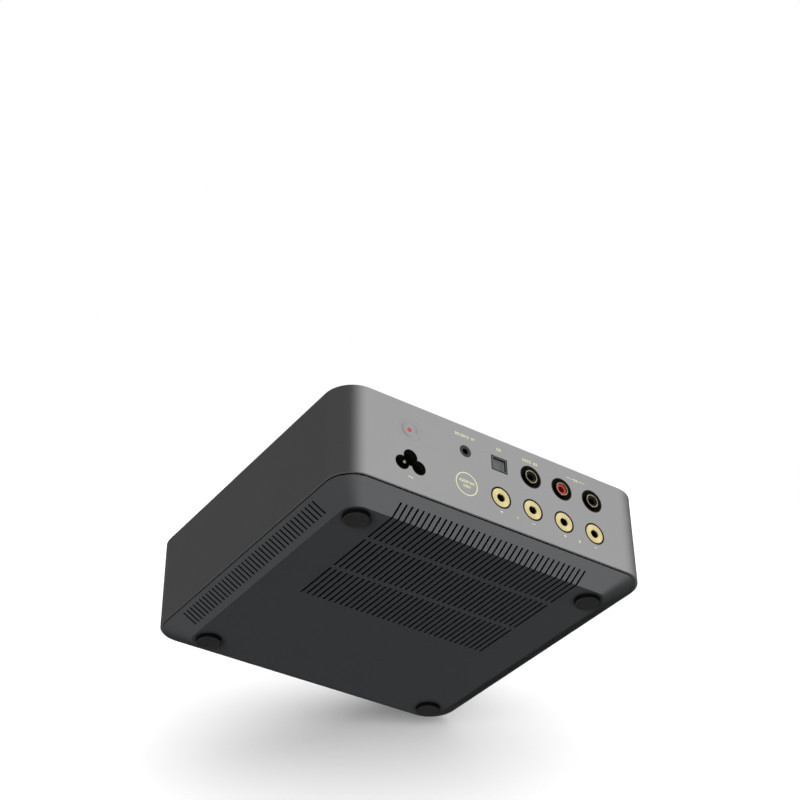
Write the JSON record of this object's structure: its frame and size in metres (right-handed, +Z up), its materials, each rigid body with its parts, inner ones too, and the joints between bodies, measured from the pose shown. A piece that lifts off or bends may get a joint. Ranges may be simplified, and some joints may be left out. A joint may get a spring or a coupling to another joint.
{
  "type": "audio amplifier",
  "caption": "Compact square audio amplifier with a one-piece rounded housing, a vented sloped base tray on rubber feet and a rear panel of working sockets.",
  "frame": {"origin": "middle of the footprint in the plane that the feet rest on", "axes": "+Z up, +Y from the front towards the rear connector panel, +X to the right seen from the front"},
  "size_m": [0.18, 0.1806, 0.0588],
  "materials": {
    "black_aluminium": "black anodised",
    "black_plastic": "black, fine grain",
    "board": "glass fibre board with green mask",
    "brass": "plain brass",
    "can_sleeve": "shrink sleeve",
    "clear_plastic": "clear, tinted by the light behind it",
    "copper": "enamelled copper wire",
    "ferrite": "sintered ferrite",
    "foot_rubber": "matt black rubber",
    "glass": "clear glass tube",
    "gold": "gold plated, polished",
    "grey_metal": "fine matt grey coating",
    "grey_plastic": "mid grey, fine grain",
    "pale_plastic": "off-white",
    "red_plastic": "smooth red",
    "steel": "zinc plated steel",
    "tinned_steel": "tinned sheet",
    "tray_plastic": "matt dark grey",
    "yellow_plastic": "smooth yellow"
  },
  "bodies": {
    "amplifier": {"housing": "grey_metal", "base_tray": "tray_plastic", "foot_rear_left": "foot_rubber", "foot_rear_right": "foot_rubber", "foot_front_left": "foot_rubber", "foot_front_right": "foot_rubber", "base_screws": "steel", "button_switch": "black_plastic", "status_led": "clear_plastic", "button_board": "board", "button_cable": "pale_plastic", "inlet_body": "black_plastic", "inlet_pins": "brass", "trigger_jack": "grey_plastic", "optical_receiver": "grey_plastic", "shutter_pin": "steel", "digital_input_body": "black_plastic", "right_input_body": "black_plastic", "left_input_body": "black_plastic", "digital_input_sleeve": "gold", "right_input_sleeve": "gold", "left_input_sleeve": "gold", "digital_input_insert": "black_plastic", "right_input_insert": "red_plastic", "left_input_insert": "black_plastic", "input_contacts": "brass", "speaker_socket_1": "gold", "speaker_socket_2": "gold", "speaker_socket_3": "gold", "speaker_socket_4": "gold", "socket_bushes": "black_plastic", "socket_washers": "black_plastic", "socket_nuts": "brass", "speaker_leads": "red_plastic", "main_board": "board", "board_screws": "steel", "heat_sink": "black_aluminium", "amplifier_chips": "black_plastic", "output_inductors": "black_plastic", "output_capacitors": "red_plastic", "supply_capacitors": "can_sleeve", "signal_chips": "black_plastic", "wireless_module": "tinned_steel", "antenna": "brass", "antenna_lead": "black_plastic", "power_board": "board", "transformer_core": "ferrite", "transformer_winding": "yellow_plastic", "bulk_capacitor": "can_sleeve", "filter_capacitors": "can_sleeve", "suppression_capacitor": "yellow_plastic", "mains_choke": "copper", "mains_fuse": "glass", "fuse_clips": "tinned_steel", "bridge_rectifier": "black_plastic", "power_cable": "pale_plastic"},
    "button": {"button_cap": "grey_metal", "button_light_guide": "clear_plastic", "switch_plunger": "pale_plastic"},
    "shutter": {"optical_shutter": "grey_plastic"}
  },
  "joints": [
    {"name": "button_press", "type": "slide", "parent": "amplifier", "child": "button", "axis": [0, -1, 0], "range_m": [0, 0.0006], "stiffness_N_per_m": 2700},
    {"name": "shutter_swing", "type": "hinge", "parent": "amplifier", "child": "shutter", "pos_m": [0.0007, 0.0883, 0.0468], "axis": [-1, 0, 0], "range_deg": [0, 80], "stiffness_Nm_per_rad": 0.0004, "springref_deg": -34.38}
  ]
}
